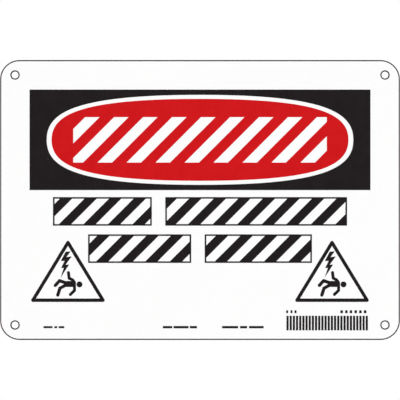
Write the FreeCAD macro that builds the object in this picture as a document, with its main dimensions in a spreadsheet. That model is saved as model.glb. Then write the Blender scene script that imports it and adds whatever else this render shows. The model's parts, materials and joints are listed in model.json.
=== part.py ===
import FreeCAD, Part
import os
from enum import IntEnum
import Sketcher
from FreeCAD import Vector

# A safety sign: one punched sheet with rounded corners, and its printed fields of colour.
# Sizes are in millimetres. The sheet's back face lies on Y = 0, the origin is the middle
# of that face, the printed face looks along -Y, and +Z is up.

doc = FreeCAD.newDocument("SafetySign")

# Driving dimensions
SIZES = [
    # the punched sheet
    ("sheet_width", 254.0),
    ("sheet_height", 177.8),
    ("sheet_thickness", 1.0),
    ("corner_radius", 12.3),
    ("front_rim_bevel", 0.35),
    ("back_rim_bevel", 0.15),
    # the four fixing holes
    ("hole_diameter", 4.37),
    ("hole_inset", 9.525),
    # every printed field is a film of ink this thick
    ("ink_thickness", 0.05),
    # the black header across the top
    ("header_side_margin", 18.77),
    ("header_top_margin", 18.78),
    ("header_height", 63.84),
    # the window in the header, whose edge runs from a flat top into round ends
    ("window_side_gap", 10.87),
    ("window_top_gap", 3.34),
    ("window_top_reach", 0.846),
    ("window_end_reach", 0.575),
    # the red oval, which leaves a white border inside the window
    ("oval_side_border", 3.09),
    ("oval_top_border", 2.54),
    ("oval_top_reach", 0.835),
    ("oval_end_reach", 0.59),
    # the striped window in the oval, whose corners stay clear of a place on the oval's edge
    ("stripe_angle", 45.0),
    ("corner_place", 0.58),
    ("corner_clearance", 2.0),
    ("oval_bar_width", 9.2),
    ("oval_bar_pitch", 18.4),
    # two rows of striped bands under the header, each row with one gap in it
    ("band_height", 18.15),
    ("band_frame", 1.0),
    ("band_bar_width", 7.8),
    ("band_bar_pitch", 15.6),
    ("header_to_band", 4.44),
    ("row_gap", 5.49),
    ("band_gap", 8.58),
    ("upper_gap_left_of_middle", 26.33),
    ("lower_gap_left_of_middle", 1.3),
    # the upper row ends in from the header's ends, the lower one clear of the triangles
    ("upper_row_inset", 14.86),
    ("band_to_triangle", 3.64),
    # the two triangle frames, measured over their sharp outer corners
    ("triangle_width", 48.4),
    ("triangle_tip_gap", 8.6),
    ("triangle_stroke", 2.2),
    ("triangle_side_margin", 18.96),
    ("triangle_bottom_margin", 24.16),
]

sheet = doc.addObject("Spreadsheet::Sheet", "Sizes")
for row, (alias, value) in enumerate(SIZES, start=1):
    sheet.set(f"A{row}", alias)
    sheet.set(f"B{row}", str(value))
    sheet.setAlias(f"B{row}", alias)
doc.recompute()

# Lengths that several pieces share, as expressions on the sheet
HALF_WIDTH = "Sizes.sheet_width / 2"
HALF_HEIGHT = "Sizes.sheet_height / 2"
HEADER_WIDTH = "(Sizes.sheet_width - 2 * Sizes.header_side_margin)"
HEADER_MIDDLE = f"({HALF_HEIGHT} - Sizes.header_top_margin - Sizes.header_height / 2)"
WINDOW_HALF_WIDTH = f"({HEADER_WIDTH} / 2 - Sizes.window_side_gap)"
WINDOW_HALF_HEIGHT = "(Sizes.header_height / 2 - Sizes.window_top_gap)"
OVAL_HALF_WIDTH = f"({WINDOW_HALF_WIDTH} - Sizes.oval_side_border)"
OVAL_HALF_HEIGHT = f"({WINDOW_HALF_HEIGHT} - Sizes.oval_top_border)"
# A place on the oval's edge, from 0 at the top to 1 at the end: how far out and how far up it is
PLACE = "Sizes.corner_place"
BEFORE = f"3 * (1 - {PLACE}) ^ 2 * {PLACE}"
AFTER = f"3 * (1 - {PLACE}) * {PLACE} ^ 2"
PLACE_OUT = f"({BEFORE} * Sizes.oval_top_reach + {AFTER} + {PLACE} ^ 3)"
PLACE_UP = f"((1 - {PLACE}) ^ 3 + {BEFORE} + {AFTER} * Sizes.oval_end_reach)"
STRIPES_HALF_WIDTH = f"({OVAL_HALF_WIDTH} * {PLACE_OUT} - Sizes.corner_clearance)"
STRIPES_HALF_HEIGHT = f"({OVAL_HALF_HEIGHT} * {PLACE_UP} - Sizes.corner_clearance)"
UPPER_ROW_TOP = f"({HEADER_MIDDLE} - Sizes.header_height / 2 - Sizes.header_to_band)"
UPPER_ROW_FOOT = f"({UPPER_ROW_TOP} - Sizes.band_height)"
LOWER_ROW_FOOT = f"({UPPER_ROW_FOOT} - Sizes.row_gap - Sizes.band_height)"
TRIANGLE_SIDE = f"({HALF_WIDTH} - Sizes.triangle_side_margin - Sizes.triangle_width / 2)"
TRIANGLE_BASE = f"(Sizes.triangle_bottom_margin - {HALF_HEIGHT})"
TRIANGLE_HEIGHT = f"({UPPER_ROW_FOOT} - Sizes.triangle_tip_gap - {TRIANGLE_BASE})"
# How much of the triangle's half width is left at the foot of the lower row: none to all of it
SHARE_AT_FOOT = f"min(1; max(0; 1 - ({LOWER_ROW_FOOT} - {TRIANGLE_BASE}) / {TRIANGLE_HEIGHT}))"
TRIANGLE_AT_FOOT = f"(Sizes.triangle_width / 2 * {SHARE_AT_FOOT})"
UPPER_HALF_ROW = f"({HEADER_WIDTH} / 2 - Sizes.upper_row_inset)"
LOWER_HALF_ROW = f"({TRIANGLE_SIDE} - {TRIANGLE_AT_FOOT} - Sizes.band_to_triangle)"
# Each row's half width, foot, and how far the gap in it lies left of the middle
UPPER_ROW = (UPPER_HALF_ROW, UPPER_ROW_FOOT, "Sizes.upper_gap_left_of_middle")
LOWER_ROW = (LOWER_HALF_ROW, LOWER_ROW_FOOT, "Sizes.lower_gap_left_of_middle")

# The property that holds the size of each way to dress an edge
SIZE_OF = {"Fillet": "Radius", "Chamfer": "Size"}
TOLERANCE = 1e-6


class Fixed(IntEnum):
    """Numbers that stand for the origin and the axes in a sketch."""
    ORIGIN = -1
    LEVEL_AXIS = -1
    UPRIGHT_AXIS = -2


class Spot(IntEnum):
    """Numbers that stand for the points of an element in a sketch."""
    START = 1
    END = 2
    CENTRE = 3


def new_body(label):
    body = doc.addObject("PartDesign::Body", label)
    body.Label = label
    return body


def front_sketch(body, name, lift="0", across="0", up="0"):
    """An upright sketch that looks along -Y, moved from the origin by three expressions."""
    sketch = body.newObject("Sketcher::SketchObject", name)
    planes = [f for f in body.Origin.OriginFeatures if f.Role == "XZ_Plane"]
    sketch.AttachmentSupport = (planes[0], [""])
    sketch.MapMode = "FlatFace"
    sketch.setExpression("AttachmentOffset.Base.x", across)
    sketch.setExpression("AttachmentOffset.Base.y", up)
    sketch.setExpression("AttachmentOffset.Base.z", lift)
    return sketch


def ink_sketch(body, name, across="0", up="0"):
    """A sketch on the sheet's printed face."""
    return front_sketch(body, name, "Sizes.sheet_thickness", across, up)


def value_of(sketch, expression):
    return float(sketch.evalExpression(expression))


def drive(sketch, kind, place, expression):
    """A dimension whose value comes from the sheet."""
    size = value_of(sketch, expression)
    index = sketch.addConstraint(Sketcher.Constraint(kind, *place, size))
    sketch.setExpression(f"Constraints[{index}]", expression)


def join(sketch, first, second):
    sketch.addConstraint(Sketcher.Constraint("Coincident", *first, *second))


def draw_loop(sketch, corners):
    """A closed chain of lines through the corners. Returns the lines' numbers."""
    ends = corners[1:] + corners[:1]
    lines = []
    for corner, end in zip(corners, ends):
        line = Part.LineSegment(Vector(*corner, 0), Vector(*end, 0))
        lines.append(sketch.addGeometry(line, False))
    for line, after in zip(lines, lines[1:] + lines[:1]):
        join(sketch, (line, Spot.END), (after, Spot.START))
    return lines


def draw_rectangle(sketch, width, height):
    """A rectangle centred on the sketch's origin."""
    half_w = value_of(sketch, width) / 2
    half_h = value_of(sketch, height) / 2
    corners = [(-half_w, -half_h), (half_w, -half_h), (half_w, half_h), (-half_w, half_h)]
    bottom, right, top, left = draw_loop(sketch, corners)
    for line in (bottom, top):
        sketch.addConstraint(Sketcher.Constraint("Horizontal", line))
    for line in (right, left):
        sketch.addConstraint(Sketcher.Constraint("Vertical", line))
    opposite = (bottom, Spot.START, right, Spot.END)
    sketch.addConstraint(Sketcher.Constraint("Symmetric", *opposite, Fixed.ORIGIN, Spot.START))
    drive(sketch, "DistanceX", (bottom, Spot.START, bottom, Spot.END), width)
    drive(sketch, "DistanceY", (right, Spot.START, right, Spot.END), height)


def draw_triangle(sketch, width, height):
    """A triangle that stands on the sketch's level axis, with its tip on the upright one."""
    half_w = value_of(sketch, width) / 2
    corners = [(-half_w, 0), (half_w, 0), (0, value_of(sketch, height))]
    base, side, _ = draw_loop(sketch, corners)
    feet = (base, Spot.START, base, Spot.END)
    sketch.addConstraint(Sketcher.Constraint("Symmetric", *feet, Fixed.ORIGIN, Spot.START))
    sketch.addConstraint(Sketcher.Constraint("Horizontal", base))
    sketch.addConstraint(Sketcher.Constraint("PointOnObject", side, Spot.END, Fixed.UPRIGHT_AXIS))
    drive(sketch, "DistanceX", feet, width)
    drive(sketch, "DistanceY", (base, Spot.START, side, Spot.END), height)


def draw_slanted_bar(sketch, left, width, height, lean):
    """A bar whose middle is that far left of the origin, and whose top stands right of its foot."""
    half_w = value_of(sketch, width) / 2
    half_h = value_of(sketch, height) / 2
    shift = value_of(sketch, lean) / 2
    middle = -value_of(sketch, left)
    foot = [(middle - half_w - shift, -half_h), (middle + half_w - shift, -half_h)]
    head = [(middle + half_w + shift, half_h), (middle - half_w + shift, half_h)]
    bottom, right, top, _ = draw_loop(sketch, foot + head)
    for line in (bottom, top):
        sketch.addConstraint(Sketcher.Constraint("Horizontal", line))
    drive(sketch, "DistanceX", (bottom, Spot.START, bottom, Spot.END), width)
    drive(sketch, "DistanceX", (top, Spot.END, top, Spot.START), width)
    drive(sketch, "DistanceX", (right, Spot.START, right, Spot.END), lean)
    drive(sketch, "DistanceY", (right, Spot.START, right, Spot.END), height)
    to_origin = (bottom, Spot.START, Fixed.ORIGIN, Spot.START)
    drive(sketch, "DistanceX", to_origin, f"{left} + ({width} + {lean}) / 2")
    drive(sketch, "DistanceY", to_origin, f"{height} / 2")


def draw_circle(sketch, across, up, diameter):
    """A circle, its centre that far across and up from the sketch's origin."""
    centre = Vector(value_of(sketch, across), value_of(sketch, up), 0)
    radius = value_of(sketch, diameter) / 2
    circle = sketch.addGeometry(Part.Circle(centre, Vector(0, 0, 1), radius), False)
    drive(sketch, "DistanceX", (Fixed.ORIGIN, Spot.START, circle, Spot.CENTRE), across)
    drive(sketch, "DistanceY", (Fixed.ORIGIN, Spot.START, circle, Spot.CENTRE), up)
    drive(sketch, "Diameter", (circle,), diameter)


def draw_oval_quarter(sketch, half_width, half_height, top_reach, end_reach, inside=None):
    """A quarter of an oval. Its edge is one cubic curve, level at the top and upright at the end.

    The two reaches say how far each handle goes towards the corner of the oval's box. The quarter
    goes in to the origin, or to a rectangle whose half width and half height inside gives.
    """
    half_w = value_of(sketch, half_width)
    half_h = value_of(sketch, half_height)
    in_w, in_h = (value_of(sketch, size) for size in inside or ("0", "0"))
    inner_corners = [(0, in_h), (in_w, in_h), (in_w, 0)] if inside else [(0, 0)]
    chain = [(0, half_h), *inner_corners, (half_w, 0)]

    # From the oval's top to its end, the lines go upright and level by turns
    lines = []
    for turn, (here, there) in enumerate(zip(chain, chain[1:])):
        line = sketch.addGeometry(Part.LineSegment(Vector(*here, 0), Vector(*there, 0)), False)
        direction = "Horizontal" if turn % 2 else "Vertical"
        sketch.addConstraint(Sketcher.Constraint(direction, line))
        if lines:
            join(sketch, (lines[-1], Spot.END), (line, Spot.START))
        lines.append(line)
    top, end = (lines[0], Spot.START), (lines[-1], Spot.END)
    sketch.addConstraint(Sketcher.Constraint("PointOnObject", *top, Fixed.UPRIGHT_AXIS))
    sketch.addConstraint(Sketcher.Constraint("PointOnObject", *end, Fixed.LEVEL_AXIS))
    drive(sketch, "DistanceY", (Fixed.ORIGIN, Spot.START, *top), half_height)
    drive(sketch, "DistanceX", (Fixed.ORIGIN, Spot.START, *end), half_width)
    if inside:
        drive(sketch, "DistanceX", (Fixed.ORIGIN, Spot.START, lines[1], Spot.END), inside[0])
        drive(sketch, "DistanceY", (Fixed.ORIGIN, Spot.START, lines[1], Spot.END), inside[1])

    curve = Part.BezierCurve()
    top_handle = Vector(half_w * value_of(sketch, top_reach), half_h, 0)
    end_handle = Vector(half_w, half_h * value_of(sketch, end_reach), 0)
    curve.setPoles([Vector(0, half_h, 0), top_handle, end_handle, Vector(half_w, 0, 0)])
    edge = sketch.addGeometry(curve.toBSpline(), False)
    sketch.exposeInternalGeometry(edge)
    join(sketch, (edge, Spot.START), top)
    join(sketch, (edge, Spot.END), end)
    # The curve's four poles show as circles right after it, and the middle two are the handles
    top_grip, end_grip = edge + 2, edge + 3
    to_top_grip = (Fixed.ORIGIN, Spot.START, top_grip, Spot.CENTRE)
    to_end_grip = (Fixed.ORIGIN, Spot.START, end_grip, Spot.CENTRE)
    drive(sketch, "DistanceX", to_top_grip, f"{half_width} * {top_reach}")
    drive(sketch, "DistanceY", to_top_grip, half_height)
    drive(sketch, "DistanceX", to_end_grip, half_width)
    drive(sketch, "DistanceY", to_end_grip, f"{half_height} * {end_reach}")


def pad(body, sketch, name, length="Sizes.ink_thickness"):
    """Stands the sketch's outline out towards the viewer."""
    feature = body.newObject("PartDesign::Pad", name)
    feature.Profile = sketch
    feature.setExpression("Length", length)
    doc.recompute()
    return feature


def cut_through(body, sketch, name):
    """Cuts the sketch's outline out of the solid, both ways, and checks that something went."""
    before = body.Shape.Volume
    feature = body.newObject("PartDesign::Pocket", name)
    feature.Profile = sketch
    feature.Type = "ThroughAll"
    feature.Midplane = True
    doc.recompute()
    assert body.Shape.Volume < before - TOLERANCE, f"{name} cuts nothing"
    return feature


def mirror_both_ways(body, feature, name):
    """Repeats a feature on the other three sides of its sketch's two axes."""
    sketch = feature.Profile[0]
    pattern = body.newObject("PartDesign::MultiTransform", name)
    pattern.Originals = [feature]
    steps = []
    for axis in ("V_Axis", "H_Axis"):
        step = body.newObject("PartDesign::Mirrored", f"{name}_{axis}")
        step.MirrorPlane = (sketch, [axis])
        steps.append(step)
    pattern.Transformations = steps
    body.Tip = pattern
    doc.recompute()


def repeat_rightwards(body, feature, name, gaps, pitch):
    """Repeats a feature along its sketch's level axis, one more time than there are gaps."""
    pattern = body.newObject("PartDesign::LinearPattern", name)
    pattern.Originals = [feature]
    pattern.Direction = (feature.Profile[0], ["H_Axis"])
    pattern.setExpression("Occurrences", f"{gaps} + 1")
    pattern.setExpression("Length", f"{gaps} * {pitch}")
    body.Tip = pattern
    doc.recompute()


def dress_edges(body, kind, name, size, wanted):
    """Fillets or chamfers the edges of the body so far for which wanted is true."""
    base = body.Tip
    edges = [f"Edge{i}" for i, edge in enumerate(base.Shape.Edges, start=1) if wanted(edge)]
    feature = body.newObject(f"PartDesign::{kind}", name)
    feature.Base = (base, edges)
    feature.setExpression(SIZE_OF[kind], size)
    body.Tip = feature
    doc.recompute()


def runs_through(edge):
    """True for an edge that goes straight from the back face to the front one."""
    ends = [vertex.Point for vertex in edge.Vertexes]
    return len(ends) == 2 and (ends[0] - ends[1]).cross(Vector(0, 1, 0)).Length < TOLERANCE


def lies_at(depth):
    """A test for edges that lie wholly in one plane, that far in front of the back face."""
    def test(edge):
        return max(abs(edge.BoundBox.YMin + depth), abs(edge.BoundBox.YMax + depth)) < TOLERANCE
    return test


# The sheet, with its corners, holes and rims
def build_sheet():
    body = new_body("sign_sheet")
    outline = front_sketch(body, "sheet_outline")
    draw_rectangle(outline, "Sizes.sheet_width", "Sizes.sheet_height")
    pad(body, outline, "sheet_blank", "Sizes.sheet_thickness")
    dress_edges(body, "Fillet", "sheet_corners", "Sizes.corner_radius", runs_through)

    hole = front_sketch(body, "hole_outline")
    hole_side = f"{HALF_WIDTH} - Sizes.hole_inset"
    hole_height = f"{HALF_HEIGHT} - Sizes.hole_inset"
    draw_circle(hole, hole_side, hole_height, "Sizes.hole_diameter")
    punch = cut_through(body, hole, "fixing_hole")
    mirror_both_ways(body, punch, "fixing_holes")

    at_front = lies_at(sheet.sheet_thickness)
    dress_edges(body, "Chamfer", "front_rims", "Sizes.front_rim_bevel", at_front)
    dress_edges(body, "Chamfer", "back_rims", "Sizes.back_rim_bevel", lies_at(0))
    return body


# The black header, with the oval window in it
def build_header():
    body = new_body("header_panel")
    outline = ink_sketch(body, "header_outline", up=HEADER_MIDDLE)
    draw_rectangle(outline, HEADER_WIDTH, "Sizes.header_height")
    pad(body, outline, "header_field")

    window = ink_sketch(body, "window_quarter", up=HEADER_MIDDLE)
    draw_oval_quarter(
        window,
        WINDOW_HALF_WIDTH,
        WINDOW_HALF_HEIGHT,
        "Sizes.window_top_reach",
        "Sizes.window_end_reach",
    )
    opening = cut_through(body, window, "window_cut")
    mirror_both_ways(body, opening, "window_cuts")
    return body


# Slanted bars that cross a window, cut off flush with its sides
def add_bars(body, kind, width, height, across, up):
    bar_width = f"Sizes.{kind}_bar_width"
    pitch = f"Sizes.{kind}_bar_pitch"
    lean = f"{height} / tan(Sizes.stripe_angle * 1 deg)"
    # One bar is in the middle, and each side of it has as many as reach into the window
    each_side = f"ceil(({width} + {lean} + {bar_width}) / (2 * {pitch}))"
    first = ink_sketch(body, f"{body.Label}_first_bar", across, up)
    draw_slanted_bar(first, f"{each_side} * {pitch}", bar_width, height, lean)
    bar = pad(body, first, f"{body.Label}_bar")
    repeat_rightwards(body, bar, f"{body.Label}_bars", f"2 * {each_side}", pitch)

    trim = ink_sketch(body, f"{body.Label}_trim", across, up)
    draw_rectangle(trim, width, height)
    past_bars = f"2 * (({each_side} + 1) * {pitch} + {lean})"
    draw_rectangle(trim, past_bars, f"2 * {height}")
    cut_through(body, trim, f"{body.Label}_flush_ends")


# The red oval inside the window, with its own window and the bars across that
def build_oval():
    body = new_body("oval_field")
    width, height = f"(2 * {STRIPES_HALF_WIDTH})", f"(2 * {STRIPES_HALF_HEIGHT})"
    add_bars(body, "oval", width, height, "0", HEADER_MIDDLE)
    quarter = ink_sketch(body, "oval_quarter", up=HEADER_MIDDLE)
    draw_oval_quarter(
        quarter,
        OVAL_HALF_WIDTH,
        OVAL_HALF_HEIGHT,
        "Sizes.oval_top_reach",
        "Sizes.oval_end_reach",
        (STRIPES_HALF_WIDTH, STRIPES_HALF_HEIGHT),
    )
    field = pad(body, quarter, "oval_pad")
    mirror_both_ways(body, field, "oval_pads")
    return body


# A band in one of the two rows, with the bars inside its frame. side is -1 for left, 1 for right
def build_band(label, side, half_row, row_foot, gap_left_of_middle):
    body = new_body(label)
    row_end = f"({side} * {half_row})"
    gap_edge = f"({side} * Sizes.band_gap / 2 - {gap_left_of_middle})"
    width = f"({side} * ({row_end} - {gap_edge}))"
    across = f"({row_end} + {gap_edge}) / 2"
    up = f"{row_foot} + Sizes.band_height / 2"
    inner_width = f"({width} - 2 * Sizes.band_frame)"
    inner_height = "(Sizes.band_height - 2 * Sizes.band_frame)"
    add_bars(body, "band", inner_width, inner_height, across, up)

    frame = ink_sketch(body, f"{label}_frame", across, up)
    draw_rectangle(frame, width, "Sizes.band_height")
    draw_rectangle(frame, inner_width, inner_height)
    pad(body, frame, f"{label}_field")
    return body


# A triangle frame with round outer corners and sharp inner ones
def build_triangle(label, side):
    body = new_body(label)
    across = f"{side} * {TRIANGLE_SIDE}"
    outline = ink_sketch(body, f"{label}_outline", across, TRIANGLE_BASE)
    draw_triangle(outline, "Sizes.triangle_width", TRIANGLE_HEIGHT)
    pad(body, outline, f"{label}_field")
    dress_edges(body, "Fillet", f"{label}_corners", "Sizes.triangle_stroke / 2", runs_through)

    # Inside, every side moves in by the stroke, and the tip comes down by more than that
    slant = f"sqrt((Sizes.triangle_width / 2) ^ 2 + {TRIANGLE_HEIGHT} ^ 2)"
    tip_drop = f"Sizes.triangle_stroke * {slant} / (Sizes.triangle_width / 2)"
    inner_height = f"({TRIANGLE_HEIGHT} - Sizes.triangle_stroke - {tip_drop})"
    inner_width = f"{inner_height} * Sizes.triangle_width / {TRIANGLE_HEIGHT}"
    inner_base = f"{TRIANGLE_BASE} + Sizes.triangle_stroke"
    inside = ink_sketch(body, f"{label}_inside", across, inner_base)
    draw_triangle(inside, inner_width, inner_height)
    cut_through(body, inside, f"{label}_opening")
    return body


pieces = [
    build_sheet(),
    build_header(),
    build_oval(),
    build_band("upper_left_band", -1, *UPPER_ROW),
    build_band("upper_right_band", 1, *UPPER_ROW),
    build_band("lower_left_band", -1, *LOWER_ROW),
    build_band("lower_right_band", 1, *LOWER_ROW),
    build_triangle("left_triangle", -1),
    build_triangle("right_triangle", 1),
]
doc.recompute()

# Nothing is written unless every feature worked
for item in doc.Objects:
    assert not {"Invalid", "Error"} & set(item.State), f"{item.Name} failed: {item.State}"
for piece in pieces:
    shape = piece.Shape
    assert not shape.isNull() and shape.isValid(), f"{piece.Label} is not a valid shape"
    assert len(shape.Solids) == 1, f"{piece.Label} is not one solid"

os.makedirs("parts", exist_ok=True)
for piece in pieces:
    piece.Shape.exportStep(f"parts/{piece.Label}.step")
    box = piece.Shape.BoundBox
    print(f"{piece.Label}: {box.XLength:.2f} x {box.YLength:.2f} x {box.ZLength:.2f} mm")
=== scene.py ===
# %% [markdown]
# # A printed safety sign
# The object is a thin aluminium sheet with round corners and four holes. Its front is enamelled
# white and printed in black and red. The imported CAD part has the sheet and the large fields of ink,
# so they are loaded first, and everything that is added here is placed in their frame.

import json
import math

import bmesh
import bpy
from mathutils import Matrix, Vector


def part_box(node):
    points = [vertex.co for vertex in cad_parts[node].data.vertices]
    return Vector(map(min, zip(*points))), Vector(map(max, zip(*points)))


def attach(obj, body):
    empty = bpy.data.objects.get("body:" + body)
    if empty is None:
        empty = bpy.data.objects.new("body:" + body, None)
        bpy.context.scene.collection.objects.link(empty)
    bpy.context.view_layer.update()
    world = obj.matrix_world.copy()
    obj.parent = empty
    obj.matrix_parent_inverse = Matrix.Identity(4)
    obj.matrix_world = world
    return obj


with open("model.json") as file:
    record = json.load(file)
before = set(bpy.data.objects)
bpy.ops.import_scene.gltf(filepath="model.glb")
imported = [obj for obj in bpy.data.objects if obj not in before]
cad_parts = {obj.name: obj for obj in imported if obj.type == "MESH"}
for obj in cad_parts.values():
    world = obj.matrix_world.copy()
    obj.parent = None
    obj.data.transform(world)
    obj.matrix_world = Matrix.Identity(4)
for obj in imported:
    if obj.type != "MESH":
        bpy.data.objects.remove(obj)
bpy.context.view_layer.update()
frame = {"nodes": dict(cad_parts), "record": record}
nodes = frame["nodes"]

# %% [markdown]
# The looks depend on a few sizes of the part: where the sheet ends, how round its corners are, how
# far its rims are bevelled, where its holes lie and how thick the ink is. Copying them as numbers
# would break as soon as the part changes. They are read from the loaded nodes and from the record
# instead. Blender works in metres, and MM lets the small sizes of a sign be written in millimetres.

# %% Sizes from the part
MM = 0.001
# Points that are nearer to a plane than this lie on it, in metres
ON_PLANE = 1e-6

sheet_low, sheet_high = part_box("sign_sheet")
HALF_WIDTH, HALF_HEIGHT = sheet_high.x, sheet_high.z
FRONT, BACK = sheet_low.y, sheet_high.y
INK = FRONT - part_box("header_panel")[0].y

points = [vertex.co for vertex in nodes["sign_sheet"].data.vertices]
CORNER = HALF_HEIGHT - max(point.z for point in points if point.x > HALF_WIDTH - ON_PLANE)
FRONT_BEVEL = HALF_WIDTH - max(point.x for point in points if point.y < FRONT + ON_PLANE)
BACK_BEVEL = HALF_WIDTH - max(point.x for point in points if point.y > BACK - ON_PLANE)
print(f"corner radius {CORNER / MM:.2f} mm, ink {INK / MM:.3f} mm thick")
print(f"bevels {FRONT_BEVEL / MM:.2f} mm at the front, {BACK_BEVEL / MM:.2f} mm at the back")

holes = next(mount for mount in frame["record"]["mounts"] if mount["name"] == "corner_holes")
HOLE_OUT = holes["dims"]["spacing_x_mm"] / 2 * MM
HOLE_UP = holes["dims"]["spacing_y_mm"] / 2 * MM
HOLE_RADIUS = holes["dims"]["hole_r_mm"] * MM
print(f"holes of {HOLE_RADIUS / MM:.3f} mm radius, {HOLE_OUT / MM:.3f} mm out from the middle")

# %% [markdown]
# Each triangle on the sign warns with the same two shapes: a lightning bolt, and a figure that it
# throws down. On the real sign they are two more shapes in the same layer of black ink. A picture
# on the sheet would have no thickness and would blur from near by, so they are modelled as films
# that are as thick as the CAD part's fields of ink.
#
# The bolt has eleven straight edges. The way to draw such a shape by hand is to merge a small
# plane into one point, extrude that point from corner to corner, and fill the loop.

# %% Draw an outline and make it a film of ink
# Points that are nearer to each other than this become one, in metres
ONE_POINT = 1e-7


def take_up(piece):
    """Selects one piece and nothing else."""
    bpy.ops.object.select_all(action="DESELECT")
    piece.select_set(True)
    bpy.context.view_layer.objects.active = piece


def draw_chain(name, points):
    """A chain of edges from point to point, left in edit mode with its last point selected."""
    bpy.ops.object.select_all(action="DESELECT")
    bpy.ops.mesh.primitive_plane_add(size=MM, location=points[0])
    piece = bpy.context.object
    piece.name = piece.data.name = name
    bpy.ops.object.mode_set(mode="EDIT")
    bpy.ops.mesh.select_mode(type="VERT")
    bpy.ops.mesh.merge(type="CENTER")
    for here, there in zip(points, points[1:]):
        bpy.ops.mesh.extrude_region_move(TRANSFORM_OT_translate={"value": there - here})
    return piece


def finish_film(piece):
    """Gives a flat shape in edit mode the ink's thickness, and puts its place in its mesh."""
    bpy.ops.mesh.select_all(action="SELECT")
    bpy.ops.mesh.remove_doubles(threshold=ONE_POINT)
    bpy.ops.mesh.extrude_region_move(TRANSFORM_OT_translate={"value": (0, -INK, 0)})
    bpy.ops.mesh.select_all(action="SELECT")
    bpy.ops.mesh.normals_make_consistent(inside=False)
    bpy.ops.object.mode_set(mode="OBJECT")
    take_up(piece)
    bpy.ops.object.transform_apply(location=True, rotation=True, scale=True)


def report(piece):
    """Prints how many faces a piece has, how many of its edges are open, and its volume."""
    shape = bmesh.new()
    shape.from_mesh(piece.data)
    loose = sum(not edge.is_manifold for edge in shape.edges)
    volume = shape.calc_volume() / MM**3
    print(f"{piece.name}: {len(shape.faces)} faces, {loose} open edges, {volume:.2f} mm3")
    shape.free()


# %% The bolt
# Corners in mm, across from the triangle's middle and up from its foot
BOLT = [
    (-1.5, 31.9), (1.75, 32.2), (-0.95, 28.5), (2.4, 28.9), (-1.55, 23.6), (0.75, 23.8),
    (-4.75, 15.4), (-2.65, 21.6), (-4.35, 21.5), (-2.15, 26.1), (-4.6, 25.95),
]

triangle_low, triangle_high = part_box("left_triangle")
TRIANGLE_MIDDLE = (triangle_low.x + triangle_high.x) / 2


def in_triangle(across, up):
    """A point on the printed face, placed by the left triangle."""
    return Vector((TRIANGLE_MIDDLE + across * MM, FRONT, triangle_low.z + up * MM))


corners = [in_triangle(*corner) for corner in BOLT]
left_bolt = draw_chain("left_bolt", corners + corners[:1])
bpy.ops.mesh.select_all(action="SELECT")
bpy.ops.mesh.remove_doubles(threshold=ONE_POINT)
bpy.ops.mesh.edge_face_add()
finish_film(left_bolt)
report(left_bolt)

# %% [markdown]
# The figure is drawn in the way of all such symbols: a slab for the trunk, bars with round ends for
# the limbs, and a disc for the head. Its outline could be drawn like the bolt's, but the round ends
# would take dozens of points. It is easier to build it as a jointed doll: one bar from joint to
# joint, made from a block whose corners are bevelled by half its width. The bars overlap at the
# joints and are united, and two cuts take the thick doll down to a film.

# %% Bars with round ends
def round_corners(block, radius, segments):
    """Bevels the edges of a block that run straight through it, and not those square to them."""
    bpy.ops.object.mode_set(mode="EDIT")
    bpy.ops.mesh.select_mode(type="EDGE")
    shape = bmesh.from_edit_mesh(block.data)
    for edge in shape.edges:
        along = (edge.verts[1].co - edge.verts[0].co).normalized()
        edge.select_set(abs(along.y) > 0.5)
    bmesh.update_edit_mesh(block.data)
    bpy.ops.mesh.bevel(offset=radius, segments=segments)
    bpy.ops.object.mode_set(mode="OBJECT")


def make_bar(name, start, end, width, corner, depth):
    """A block from joint to joint that sticks out of the printed face both ways."""
    run = end - start
    bpy.ops.object.select_all(action="DESELECT")
    bpy.ops.mesh.primitive_cube_add(
        size=1,
        location=(start + end) / 2,
        rotation=(0, math.atan2(-run.z, run.x), 0),
        scale=(run.length + width, depth, width),
    )
    bar = bpy.context.object
    bar.name = bar.data.name = name
    bpy.ops.object.transform_apply(location=False, rotation=False, scale=True)
    round_corners(bar, corner, segments=8)
    bpy.ops.object.transform_apply(location=True, rotation=True, scale=True)
    return bar


def unite(whole, part):
    """Adds a part to a whole and takes the part away."""
    take_up(whole)
    union = whole.modifiers.new("union", "BOOLEAN")
    union.operation = "UNION"
    union.solver = "EXACT"
    union.object = part
    bpy.ops.object.modifier_apply(modifier=union.name)
    bpy.data.objects.remove(part)


# %% The doll's trunk and limbs
# Joints in mm, as for the bolt. A limb has its width and the joints that it runs through in turn
TRUNK_ENDS = [(-0.9, 11.4), (3.2, 11.4)]
TRUNK_WIDTH = 3.8
TRUNK_CORNER = 1.3
LIMBS = {
    "raised_arm": (1.9, [(4.15, 12.35), (2.95, 14.0), (0.75, 15.1), (0.3, 18.7)]),
    "lower_arm": (1.9, [(4.15, 10.45), (4.15, 7.3), (1.5, 4.75)]),
    "upper_leg": (2.1, [(-1.75, 12.25), (-5.35, 13.5), (-8.05, 10.5)]),
    "lower_leg": (2.1, [(-1.75, 10.55), (-5.1, 8.7), (-6.45, 4.4)]),
}
# A limb's corners take up just less than half its width each, so they don't run into each other
LIMB_CORNER = 0.499
# In mm. No two bars have the same depth, so none of their faces lie on each other
FIRST_DEPTH, DEPTH_STEP = 1.0, 0.01

trunk_start, trunk_end = (in_triangle(*place) for place in TRUNK_ENDS)
depth = FIRST_DEPTH * MM
left_figure = make_bar(
    "left_figure", trunk_start, trunk_end, TRUNK_WIDTH * MM, TRUNK_CORNER * MM, depth
)
for name, (width, joints) in LIMBS.items():
    for start, end in zip(joints, joints[1:]):
        depth += DEPTH_STEP * MM
        ends = in_triangle(*start), in_triangle(*end)
        bar = make_bar(name, *ends, width * MM, LIMB_CORNER * width * MM, depth)
        unite(left_figure, bar)
report(left_figure)

# %% Cut the doll down to a film
# In metres: points that are nearer to a cut than ON_CUT lie on it, and the unions leave a few
# corners nearer to each other than SLIVER, which would make slivers
ON_CUT, SLIVER = 1e-8, 5e-6

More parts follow.
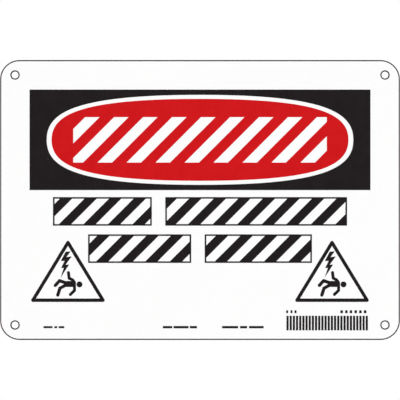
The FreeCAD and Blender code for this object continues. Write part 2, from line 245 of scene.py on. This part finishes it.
take_up(left_figure)
bpy.ops.object.mode_set(mode="EDIT")
for cut, outwards in ((FRONT, 1), (FRONT - INK, -1)):
    bpy.ops.mesh.select_all(action="SELECT")
    bpy.ops.mesh.bisect(
        plane_co=(0, cut, 0),
        plane_no=(0, outwards, 0),
        clear_outer=True,
        use_fill=True,
        threshold=ON_CUT,
    )
bpy.ops.mesh.select_all(action="SELECT")
bpy.ops.mesh.remove_doubles(threshold=SLIVER)
bpy.ops.mesh.normals_make_consistent(inside=False)
bpy.ops.object.mode_set(mode="OBJECT")
report(left_figure)

# %% [markdown]
# The head is a disc. It could be a cylinder, but a short line that is spun round its own end makes
# the same disc from the tools that are in use here, and then becomes a film as the bolt did.

# %% The head
# Its middle, in mm as for the bolt
HEAD = (7.3, 11.15)
HEAD_RADIUS = 1.87


def join_all(first, *others):
    """Makes one object of several pieces, under the first one's name."""
    take_up(first)
    for piece in others:
        piece.select_set(True)
    bpy.ops.object.join()


head_middle = in_triangle(*HEAD)
head = draw_chain("head", [head_middle, head_middle + Vector((HEAD_RADIUS * MM, 0, 0))])
bpy.ops.mesh.select_all(action="SELECT")
bpy.ops.mesh.spin(steps=36, angle=math.tau, center=head_middle, axis=(0, 1, 0))
finish_film(head)
report(head)
join_all(left_figure, head)
report(left_figure)

# %% [markdown]
# The right triangle has the same two shapes, and they aren't mirrored. Linked copies would share
# one mesh, but here a piece's place is in its mesh. So each copy gets a mesh of its own and is
# moved by the distance between the triangles, and the move is put in the mesh.

# %% Copies for the right triangle
def copy_over(piece, name, move):
    """A copy of a piece with its own mesh, moved, and at rest at the origin."""
    copy = piece.copy()
    copy.data = piece.data.copy()
    copy.name = copy.data.name = name
    bpy.context.collection.objects.link(copy)
    take_up(copy)
    bpy.ops.transform.translate(value=move)
    bpy.ops.object.transform_apply(location=True, rotation=True, scale=True)
    return copy


right_low, right_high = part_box("right_triangle")
apart = Vector(((right_low.x + right_high.x) / 2 - TRIANGLE_MIDDLE, 0, 0))
right_bolt = copy_over(left_bolt, "right_bolt", apart)
right_figure = copy_over(left_figure, "right_figure", apart)
print(f"the triangles stand {apart.x / MM:.2f} mm apart")

# %% [markdown]
# Along the foot of the sign runs fine print, under two millimetres high. On this part it is a row
# of plain dashes that say nothing. One square dash with small round corners is modelled. The others
# could be scaled from it, but that would stretch their corners too. Each is a copy whose right and
# upper sides are moved out, so that the corners keep their shape.

# %% Blocks of ink
def make_block(name, low, high, corner):
    """A film with round corners between two corners of its outline, all in mm."""
    width, height = (high[0] - low[0]) * MM, (high[1] - low[1]) * MM
    middle = Vector((low[0] + high[0], 0, low[1] + high[1])) * MM / 2
    bpy.ops.object.select_all(action="DESELECT")
    bpy.ops.mesh.primitive_cube_add(
        size=1,
        location=middle + Vector((0, FRONT - INK / 2, 0)),
        scale=(width, INK, height),
    )
    block = bpy.context.object
    block.name = block.data.name = name
    bpy.ops.object.transform_apply(location=True, rotation=True, scale=True)
    round_corners(block, corner * MM, segments=3)
    return block


def stretch(piece, axis, middle, extra):
    """Moves all of a piece that lies past its middle along one axis."""
    take_up(piece)
    bpy.ops.object.mode_set(mode="EDIT")
    bpy.ops.mesh.select_mode(type="VERT")
    shape = bmesh.from_edit_mesh(piece.data)
    for point in shape.verts:
        point.select_set(point.co[axis] > middle)
    bmesh.update_edit_mesh(piece.data)
    move = [0, 0, 0]
    move[axis] = extra
    bpy.ops.transform.translate(value=move)
    bpy.ops.object.mode_set(mode="OBJECT")


# %% Plain dashes for the fine print
DASH_SIZE = 1.0
DASH_CORNER = 0.28
ACROSS, UP = 0, 2
# The middle of each line above the sheet's middle, how high its dashes are, and the two ends of
# each dash, in mm
LINES = {
    "fine_print_left": (-80.75, 1.28, [(-99.4, -93.6), (-92.5, -90.7), (-89.8, -86.2)]),
    "fine_print_middle": (-80.75, 1.48, [(-23.6, -17.6), (-16.8, -7.3), (-6.5, -1.9)]),
    "fine_print_right": (-80.75, 1.48, [(14.0, 24.2), (25.4, 29.9), (31.1, 40.4)]),
    "small_marks_left": (-70.95, 1.9, [(54.7, 55.95), (57.5, 58.75), (60.0, 61.25)]),
    "small_marks_right": (
        -70.95,
        1.9,
        [
            (89.15, 90.75), (92.15, 93.75), (95.05, 96.65),
            (98.05, 99.65), (101.05, 102.65), (104.05, 105.65),
        ],
    ),
}

pattern_dash = make_block("dash", (0, 0), (DASH_SIZE, DASH_SIZE), DASH_CORNER)
small_print = []
for name, (up, height, spans) in LINES.items():
    foot = up - height / 2
    dashes = []
    for start, end in spans:
        dash = copy_over(pattern_dash, name, Vector((start, 0, foot)) * MM)
        stretch(dash, ACROSS, (start + DASH_SIZE / 2) * MM, (end - start - DASH_SIZE) * MM)
        stretch(dash, UP, (foot + DASH_SIZE / 2) * MM, (height - DASH_SIZE) * MM)
        dashes.append(dash)
    join_all(*dashes)
    report(dashes[0])
    small_print.append(dashes[0])
bpy.data.objects.remove(pattern_dash)

# %% [markdown]
# At the right of the foot is a block of upright bars. They are all alike and evenly spaced, so that
# the block says nothing either. One bar is modelled. Copies could be placed in a loop, as for the
# dashes, but for a fixed step an Array modifier is shorter.

# %% A block of even bars
BAR_BLOCK_LOW, BAR_BLOCK_HIGH = (54.9, -82.8), (106.6, -73.5)
BAR_COUNT = 26
BAR_WIDTH = 1.4
BAR_CORNER = 0.08

bar_step = (BAR_BLOCK_HIGH[0] - BAR_BLOCK_LOW[0] - BAR_WIDTH) / (BAR_COUNT - 1)
bar_end = (BAR_BLOCK_LOW[0] + BAR_WIDTH, BAR_BLOCK_HIGH[1])
even_bars = make_block("even_bars", BAR_BLOCK_LOW, bar_end, BAR_CORNER)
row = even_bars.modifiers.new("row", "ARRAY")
row.count = BAR_COUNT
row.use_relative_offset = False
row.use_constant_offset = True
row.constant_offset_displace = (bar_step * MM, 0, 0)
take_up(even_bars)
bpy.ops.object.modifier_apply(modifier=row.name)
report(even_bars)
print(f"{BAR_COUNT} bars every {bar_step:.2f} mm")

# %% [markdown]
# All the black print leaves the press in one pass, so every new piece rides on the sign's one body,
# and further on it takes the same black ink as the CAD fields.

# %% Fix the new pieces to the sign
black_print = [left_bolt, left_figure, right_bolt, right_figure, *small_print, even_bars]
for piece in black_print:
    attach(piece, "root")
print(len(black_print), "pieces of black print")

# %% [markdown]
# Materials are nodes that are wired together. Their maths could be added node by node, but it soon
# grows hard to read. A small class makes it read like sums: a Wire is one socket, and adding or
# multiplying wires adds a Math node.

# %% Write node maths as sums
class Wire:
    """One output socket, which can stand in a sum as a number does."""

    def __init__(self, recipe, socket):
        self.recipe, self.socket = recipe, socket

    def out(self, name):
        """Another output of the same node, by its name or number."""
        return Wire(self.recipe, self.socket.node.outputs[name])

    def maths(self, operation, other=0.0):
        """What a Math node makes of this wire and another value."""
        return self.recipe.add("Math", {"operation": operation}, {0: self, 1: other})

    def __add__(self, other):
        return self.maths("ADD", other)

    def __sub__(self, other):
        return self.maths("SUBTRACT", other)

    def __rsub__(self, other):
        return self.recipe.add("Math", {"operation": "SUBTRACT"}, {0: other, 1: self})

    def __mul__(self, other):
        return self.maths("MULTIPLY", other)

    def __pow__(self, other):
        return self.maths("POWER", other)

    def __abs__(self):
        return self.maths("ABSOLUTE")

    __radd__ = __add__
    __rmul__ = __mul__

    def most(self, other):
        return self.maths("MAXIMUM", other)

    def least(self, other):
        return self.maths("MINIMUM", other)

    def ramp(self, low, high):
        """From 0 at low to 1 at high, eased at both ends."""
        settings = {"interpolation_type": "SMOOTHSTEP"}
        sockets = {"Value": self, "From Min": low, "From Max": high}
        return self.recipe.add("MapRange", settings, sockets)

    def past(self, place, softness):
        """0 before a place and 1 past it, with a soft edge."""
        return self.ramp(place - softness, place + softness)


# %% [markdown]
# All other nodes come from one method, which takes a node's type, then its settings, then what
# feeds its sockets. It belongs to a Recipe, which is the node tree of one finish.

# %% Add any node to a recipe
class Recipe:
    """The node tree of a material or of the world, empty at first."""

    def __init__(self, owner):
        owner.use_nodes = True
        self.tree = owner.node_tree
        self.tree.nodes.clear()

    def add(self, kind, settings, sockets):
        """A new node's first output, or None for an output node."""
        node = self.tree.nodes.new(f"ShaderNode{kind}")
        for name, value in settings.items():
            setattr(node, name, value)
        for name, value in sockets.items():
            if isinstance(value, Wire):
                self.tree.links.new(value.socket, node.inputs[name])
            else:
                node.inputs[name].default_value = value
        return Wire(self, node.outputs[0]) if node.outputs else None

    def mix(self, first, second, share):
        """One colour that turns into another as share goes from 0 to 1."""
        # A Mix node has sockets of all kinds: its colours go in at 6 and 7 and come out at 2
        sockets = {"Factor": share, 6: first, 7: second}
        return self.add("Mix", {"data_type": "RGBA"}, sockets).out(2)


def new_finish(name):
    """A new material and its empty recipe."""
    material = bpy.data.materials.new(name)
    return material, Recipe(material)


# %% [markdown]
# Most patterns here need a place on the sign in millimetres: which face it is on, and how far it
# is from an edge. Object coordinates give that place. They are the CAD frame, because each piece
# lies at the origin with its place in its mesh. The patterns that follow are made from it: soft
# noise, small spots, and a bump that takes its height in millimetres too.

# %% Places, noise, spots and bumps in millimetres
def place_in_mm(recipe):
    """Three wires for across, deep and up, and the same place as one vector."""
    place = recipe.add("TexCoord", {}, {}).out("Object")
    place = recipe.add("VectorMath", {"operation": "SCALE"}, {0: place, "Scale": 1 / MM})
    across = recipe.add("SeparateXYZ", {}, {0: place})
    return across, across.out("Y"), across.out("Z"), place


def noise(recipe, place, grain, detail):
    """Soft noise from 0 to 1. The grain is how long its lumps are across, deep and up, in mm."""
    scale = [1 / length for length in grain]
    stretched = recipe.add("VectorMath", {"operation": "MULTIPLY"}, {0: place, 1: scale})
    return recipe.add("TexNoise", {}, {"Vector": stretched, "Scale": 1.0, "Detail": detail})


def specks(recipe, place, spacing, radius):
    """1 in small round spots that lie about spacing apart, both in mm, and 0 elsewhere."""
    across = recipe.add("SeparateXYZ", {}, {0: place})
    flat_place = recipe.add("CombineXYZ", {}, {0: across, 1: across.out("Z")})
    settings = {"voronoi_dimensions": "2D"}
    spots = recipe.add("TexVoronoi", settings, {"Vector": flat_place, "Scale": 1 / spacing})
    return 1 - (spots * spacing).ramp(radius / 2, radius)


def bump(recipe, height):
    """A normal that leans with a height in mm."""
    return recipe.add("Bump", {}, {"Height": height, "Distance": MM, "Strength": 1.0})


# %% [markdown]
# The sheet is one punched blank with three finishes. The enamel covers the front and wraps over
# its rim. A thin near-black band is painted round the rim and round each hole, over the bevels: it
# is painted edge shade, which is what gives the sign its crisp outline. The back is bare aluminium
# as the mill rolled it, and the walls that the punch sheared show a bright band and a rough one.
#
# Three materials would need the sheet cut into three pieces. One material that works out where
# each point lies leaves the CAD mesh as it is. The distance to the nearest cut edge comes from the
# formula for a rounded rectangle and from the distance to the hole in that corner.

# %% How far a point of the sheet is from the nearest cut
def inset_from_cuts(across, up):
    """Millimetres in from the nearest cut, which is the outline or the edge of a hole."""
    past_x = abs(across) - (HALF_WIDTH - CORNER) / MM
    past_z = abs(up) - (HALF_HEIGHT - CORNER) / MM
    round_part = (past_x.most(0) ** 2 + past_z.most(0) ** 2) ** 0.5
    from_outline = CORNER / MM - round_part - past_x.most(past_z).least(0)
    hole_x = abs(across) - HOLE_OUT / MM
    hole_z = abs(up) - HOLE_UP / MM
    from_hole = (hole_x**2 + hole_z**2) ** 0.5 - HOLE_RADIUS / MM
    return from_outline.least(from_hole)


sheet_finish, recipe = new_finish("enamelled_aluminium")
across, deep, up, place = place_in_mm(recipe)
inset = inset_from_cuts(across, up)
print("the distance to the nearest cut takes", len(recipe.tree.nodes), "nodes")

# %% [markdown]
# Two masks put the finishes in their places. A point is on the front from about where the rim's
# bevel starts, and on a wall where it is next to a cut and not on the back's bevel. The mill
# finish takes what is left.

# %% Where the front and the sheared walls are
# In mm: how soft the masks' edges are, how far behind a bevel's own edge they lie, and how far in
# from a cut its wall ends, which is soft too
MASK_SOFTNESS, BEHIND_BEVEL = 0.02, 0.01
WALL_END, WALL_SOFTNESS = 0.025, 0.015

height = deep * -1 + BACK / MM
front_start = (BACK - FRONT - FRONT_BEVEL) / MM - BEHIND_BEVEL
wall_start = BACK_BEVEL / MM - BEHIND_BEVEL
on_front = height.past(front_start, MASK_SOFTNESS)
next_to_cut = 1 - inset.past(WALL_END, WALL_SOFTNESS)
on_wall = next_to_cut * height.past(wall_start, MASK_SOFTNESS) * (1 - on_front)
print(f"walls from {wall_start:.2f} mm and the front from {front_start:.2f} mm above the back")

# %% [markdown]
# The enamel is a sprayed and baked satin white. The photo shows it clean and even, so its detail is
# small: slow clouds of a slightly greyer white, orange peel, a few nibs of dust that were baked
# in, and wipe marks that only show in the gloss. Orange peel could be shaped into the mesh, but it
# is only about a hundredth of a millimetre high, and a bump shows that as well.

# %% Enamel and the painted edge shade
ENAMEL = (0.976, 0.974, 0.972, 1)
# The second white is the slow clouds' greyer tone, and also the painted shade in the orange peel's
# hollows
GREYER_ENAMEL_AND_PAINTED_SHADE = (0.962, 0.961, 0.961, 1)
DUST = (0.55, 0.53, 0.50, 1)
# Near-black colour painted along the rim and round the holes as edge shade
PAINTED_EDGE_SHADE = (0.006, 0.005, 0.005, 1)
# In mm: how wide the painted edge shade is, and how soft its inner edge is
EDGE_SHADE_WIDTH, EDGE_SHADE_SOFTNESS = 0.82, 0.03

clouds = noise(recipe, place, (30, 30, 30), detail=2.0)
peel = noise(recipe, place, (1.3, 1.3, 1.3), detail=1.5)
nibs = specks(recipe, place, spacing=20, radius=0.11)
wipes = noise(recipe, place, (45, 45, 1.4), detail=2.0).ramp(0.5, 0.72)

# The hollows of the orange peel are painted darker: painted shade, mixed half and half with the
# clouds, which are the enamel's own greyer tone
peel_hollow_painted_shade = 1 - peel.ramp(0.3, 0.6)
enamel = recipe.mix(ENAMEL, GREYER_ENAMEL_AND_PAINTED_SHADE, clouds.ramp(0.35, 0.75) * 0.5 + peel_hollow_painted_shade * 0.5)
enamel = recipe.mix(enamel, DUST, nibs * 0.5)
# A near-black band along every cut edge and over the bevels: painted edge shade that outlines the
# sheet and its holes
front_colour = recipe.mix(PAINTED_EDGE_SHADE, enamel, inset.past(EDGE_SHADE_WIDTH, EDGE_SHADE_SOFTNESS))
front_roughness = 0.27 + clouds * 0.08 + wipes * 0.1
front_relief = peel * 0.016 + nibs * 0.03
print(f"a line {EDGE_SHADE_WIDTH} mm wide round the rim and round each hole")

# %% [markdown]
# Mill finish is what the rollers leave: fine streaks along the way that the sheet was rolled, and
# a few long faint marks. An anisotropic gloss could stand for the streaks, but near by they show
# one by one, so they are noise that is stretched far along the rolling. Handling adds hairline
# scratches at a slant, and a Mapping node turns the place before the noise reads it.

# %% Mill finish
MILL = (0.80, 0.805, 0.81, 1)
MILL_DARK = (0.70, 0.705, 0.715, 1)
SCRATCHED = (0.9, 0.9, 0.9, 1)
SCRATCH_SLANT = 0.6

streaks = noise(recipe, place, (60, 1, 0.35), detail=3.0)
marks = noise(recipe, place, (140, 1, 2.6), detail=1.0).ramp(0.55, 0.75)
turned = recipe.add("Mapping", {}, {"Vector": place, "Rotation": (0, SCRATCH_SLANT, 0)})
scratches = noise(recipe, turned, (26, 1, 0.16), detail=1.0).ramp(0.72, 0.77)

back_colour = recipe.mix(MILL, MILL_DARK, streaks.ramp(0.3, 0.75) * 0.6 + marks * 0.35)
back_colour = recipe.mix(back_colour, SCRATCHED, scratches * 0.6)
back_roughness = 0.3 + streaks * 0.12
back_relief = streaks * 0.004
print(f"scratches at {math.degrees(SCRATCH_SLANT):.0f} degrees to the rolling")

# %% [markdown]
# A punch burnishes the wall that it cuts until the metal cracks, and the rest of the wall breaks
# away rough. So a sheared wall has a bright band towards the front and a grey, gritty one behind.
# The two could be strips of faces with a material each, but the height of a point tells them apart
# as well. A wall is the same metal as the back, so what makes it rougher is added to the mill
# finish.

# %% Sheared walls
SHEARED = (0.62, 0.625, 0.64, 1)
# In mm: where the bright band starts above the back face, and how soft its edge is
BAND_START, BAND_SOFTNESS = 0.46, 0.04

grit = noise(recipe, place, (0.12, 2, 0.12), detail=2.0)
burnished = height.past(BAND_START, BAND_SOFTNESS)
wall_colour = recipe.mix(SHEARED, MILL, burnished * 0.7 + grit * 0.3)
bare_colour = recipe.mix(back_colour, wall_colour, on_wall)
bare_roughness = back_roughness + (0.25 - burnished * 0.2) * on_wall
bare_relief = back_relief + grit * 0.015 * on_wall
print(f"the bright band is {front_start - BAND_START:.2f} mm high")

# %% The sheet's material
shader = recipe.add(
    "BsdfPrincipled",
    {},
    {
        "Base Color": recipe.mix(bare_colour, front_colour, on_front),
        "Roughness": bare_roughness * (1 - on_front) + front_roughness * on_front,
        "Metallic": 1 - on_front,
        "Normal": bump(recipe, bare_relief * (1 - on_front) + front_relief * on_front),
        "Specular IOR Level": 0.3,
    },
)
recipe.add("OutputMaterial", {}, {"Surface": shader})
nodes["sign_sheet"].material_slots[0].material = sheet_finish
print("enamelled_aluminium:", len(recipe.tree.nodes), "nodes")

# %% [markdown]
# The print is screen printed: ink is pressed through a fine mesh and dries satin. From the photo's
# distance it is dense and even. Near by it keeps a trace of the mesh in its surface, small
# differences in how thick the ink lies, and here and there a pinhole that shows the enamel. Black
# and red differ only in colour, so one function mixes both.
#
# The film is more matt than the enamel. A low specular level keeps the reflection of a white room
# from greying the black.

# %% Inks
# The distance between two threads of the screen, in mm
THREADS = 0.28


def mix_ink(name, full, thin):
    """Satin screen ink that goes from its full colour to a slightly thinner one."""
    ink, recipe = new_finish(name)
    across, _, up, place = place_in_mm(recipe)
    patches = noise(recipe, place, (9, 9, 9), detail=3.0)
    grain = noise(recipe, place, (0.3, 0.3, 0.3), detail=2.0)
    waves = [(way * (math.tau / THREADS)).maths("SINE") for way in (across, up)]
    thinness = patches.ramp(0.3, 0.75) * 0.3 + grain.ramp(0.35, 0.7) * 0.5 + 0.1
    pinholes = specks(recipe, place, spacing=18, radius=0.06)
    shader = recipe.add(
        "BsdfPrincipled",
        {},
        {
            "Base Color": recipe.mix(recipe.mix(full, thin, thinness), ENAMEL, pinholes * 0.7),
            "Roughness": 0.4 + thinness * 0.08,
            "Normal": bump(recipe, waves[0] * waves[1] * 0.002 + grain * 0.006),
            "Specular IOR Level": 0.1,
        },
    )
    recipe.add("OutputMaterial", {}, {"Surface": shader})
    print(f"{name}: {len(recipe.tree.nodes)} nodes")
    return ink


black_ink = mix_ink("black_screen_ink", (0.0048, 0.0024, 0.0032, 1), (0.0136, 0.0104, 0.0112, 1))
red_ink = mix_ink("red_screen_ink", (0.560, 0.0022, 0.0044, 1), (0.672, 0.0066, 0.0096, 1))

# %% Ink on the CAD fields and on the new pieces
for name, node in nodes.items():
    if name == "oval_field":
        node.material_slots[0].material = red_ink
    elif name != "sign_sheet":
        node.material_slots[0].material = black_ink
for piece in black_print:
    piece.data.materials.clear()
    piece.data.materials.append(black_ink)
print(f"black ink on {len(nodes) - 2} fields and {len(black_print)} pieces, red ink on the oval")

# %% [markdown]
# The photo shows the sign square on, and it fills the width of the picture. A long lens keeps a
# flat thing flat: at 200 mm the picture is 0.18 times as wide as the camera is far away.

# %% Camera
LENS, SENSOR = 200, 36
distance = 2 * HALF_WIDTH * LENS / SENSOR
bpy.ops.object.select_all(action="DESELECT")
bpy.ops.object.camera_add(location=(0, FRONT - distance, 0), rotation=(math.pi / 2, 0, 0))
camera = bpy.context.object
camera.name = "camera"
camera.data.lens, camera.data.sensor_width = LENS, SENSOR
camera.data.clip_start = 10 * MM
bpy.context.scene.camera = camera
print(f"the camera stands {distance:.3f} m away")

# %% [markdown]
# The sign is meant for a wall, and the photo shows it against plain white with no shadow. A pale
# floor lies a little under it and catches its shadow in the views from above. From half a metre
# out it fades to the white of the sky, so there is no horizon, and what the camera sees of it
# from the front is plain white. The floor and the sky are white for the camera and in
# reflections, and dimmer as light sources, so that a colour on the sign looks as it is written.

# %% Floor
WHITE = (1, 1, 1, 1)
FLOOR_COLOUR = (0.82, 0.82, 0.82, 1)
# In metres
FLOOR_SIZE, FLOOR_HEIGHT = 8, -0.2
# Near the sign the floor shows this share of the sky's white, and it rises to all of it between
# two distances in mm
WHITE_NEAR_SIGN = 0.65
FADE = (450, 800)


def seen(recipe):
    """1 for what the camera, a reflection or a see-through surface sees, 0 for light."""
    path = recipe.add("LightPath", {}, {})
    direct = path.out("Is Camera Ray").most(path.out("Is Glossy Ray"))
    return direct.most(path.out("Is Transmission Ray"))


bpy.ops.mesh.primitive_plane_add(size=FLOOR_SIZE, location=(0, 0, FLOOR_HEIGHT))
floor = bpy.context.object
floor.name = "floor"
floor_finish, recipe = new_finish("pale_floor")
matt = recipe.add("BsdfDiffuse", {}, {"Color": FLOOR_COLOUR})
glow = recipe.add("Emission", {}, {"Color": WHITE, "Strength": 1.0})
across, deep, _, _ = place_in_mm(recipe)
fade = ((across**2 + deep**2) ** 0.5).ramp(*FADE)
whiteness = fade * (1 - WHITE_NEAR_SIGN) + WHITE_NEAR_SIGN
shader = recipe.add("MixShader", {}, {0: seen(recipe) * whiteness, 1: matt, 2: glow})
recipe.add("OutputMaterial", {}, {"Surface": shader})
floor.data.materials.append(floor_finish)
print(f"the floor lies {(sheet_low.z - FLOOR_HEIGHT) / MM:.0f} mm under the sign")

# %% Sky
SKY_LIGHT = 0.53

world = bpy.data.worlds.new("white_room")
bpy.context.scene.world = world
recipe = Recipe(world)
bright = recipe.add("Background", {}, {"Color": WHITE, "Strength": 1.0})
soft = recipe.add("Background", {}, {"Color": WHITE, "Strength": SKY_LIGHT})
shader = recipe.add("MixShader", {}, {0: seen(recipe), 1: soft, 2: bright})
recipe.add("OutputWorld", {}, {"Surface": shader})
print(f"the sky lights the sign with {SKY_LIGHT} of the white that it shows")

# %% [markdown]
# A small lamp near a flat sign would leave a bright patch. Sun lamps light it evenly, and a wide
# angle makes them as soft as a studio's panels. They stand to the sides, so that their own
# reflection in the satin surfaces goes past the camera.

# %% Lamps
# Each lamp's strength, and the direction that its light comes from
LAMPS = {
    "key": (1.09, (-0.75, -1.0, 0.75)),
    "fill": (0.71, (0.9, -1.0, 0.35)),
    "back": (0.6, (0.4, 1.0, 0.8)),
}
LAMP_ANGLE = math.radians(25)

for name, (strength, direction) in LAMPS.items():
    origin = Vector(direction)
    bpy.ops.object.light_add(type="SUN", location=origin)
    lamp = bpy.context.object
    lamp.name = name
    lamp.rotation_euler = origin.to_track_quat("Z", "Y").to_euler()
    lamp.data.energy = strength
    lamp.data.angle = LAMP_ANGLE
    share = max(0, -origin.normalized().y) * strength / math.pi
    print(f"{name}: gives the front {share:.3f} of a white surface's level")

# %% Finish
bpy.context.scene.view_settings.view_transform = "Standard"
